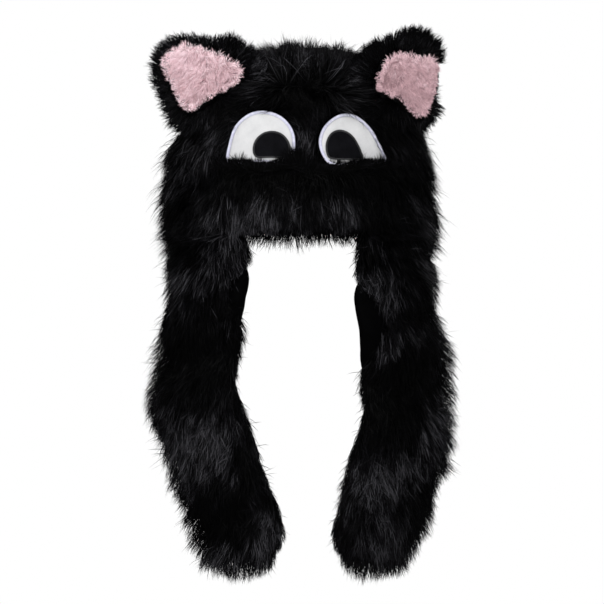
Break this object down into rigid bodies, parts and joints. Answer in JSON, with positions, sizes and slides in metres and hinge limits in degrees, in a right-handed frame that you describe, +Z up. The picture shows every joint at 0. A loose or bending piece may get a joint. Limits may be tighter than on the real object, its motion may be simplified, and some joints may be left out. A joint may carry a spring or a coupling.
{
  "type": "animal hat",
  "caption": "Faux-fur cat hat with upright pink-lined ears, sewn-on eyes, a furry brow cuff and long hanging side flaps.",
  "frame": {"origin": "the inside of the crown's top, where the wearer's head carries the hat", "axes": "+Z up, -Y the way the face of the hat looks, +X to the right as seen from the front"},
  "size_m": [0.3214, 0.2303, 0.5811],
  "materials": {
    "black_fur": "deep black faux fur, combed and clumped, with grey sheen",
    "lining": "smooth black cloth with a short nap",
    "pink_plush": "short pale pink plush",
    "eye_white": "smooth off-white felt",
    "eye_stitching": "dense pale lilac satin stitching",
    "pupil": "smooth charcoal felt"
  },
  "bodies": {
    "root": {"crown_lining": "lining", "crown_fur": "black_fur", "brow_cuff": "black_fur", "eye_white_left": "eye_white", "eye_white_right": "eye_white", "eye_rim_left": "eye_stitching", "eye_rim_right": "eye_stitching", "pupil_left": "pupil", "pupil_right": "pupil", "ear_fur_left": "black_fur", "ear_fur_right": "black_fur", "ear_inner_left": "pink_plush", "ear_inner_right": "pink_plush", "flap_lining_left": "lining", "flap_lining_right": "lining", "flap_fur_left": "black_fur", "flap_fur_right": "black_fur"}
  },
  "joints": []
}
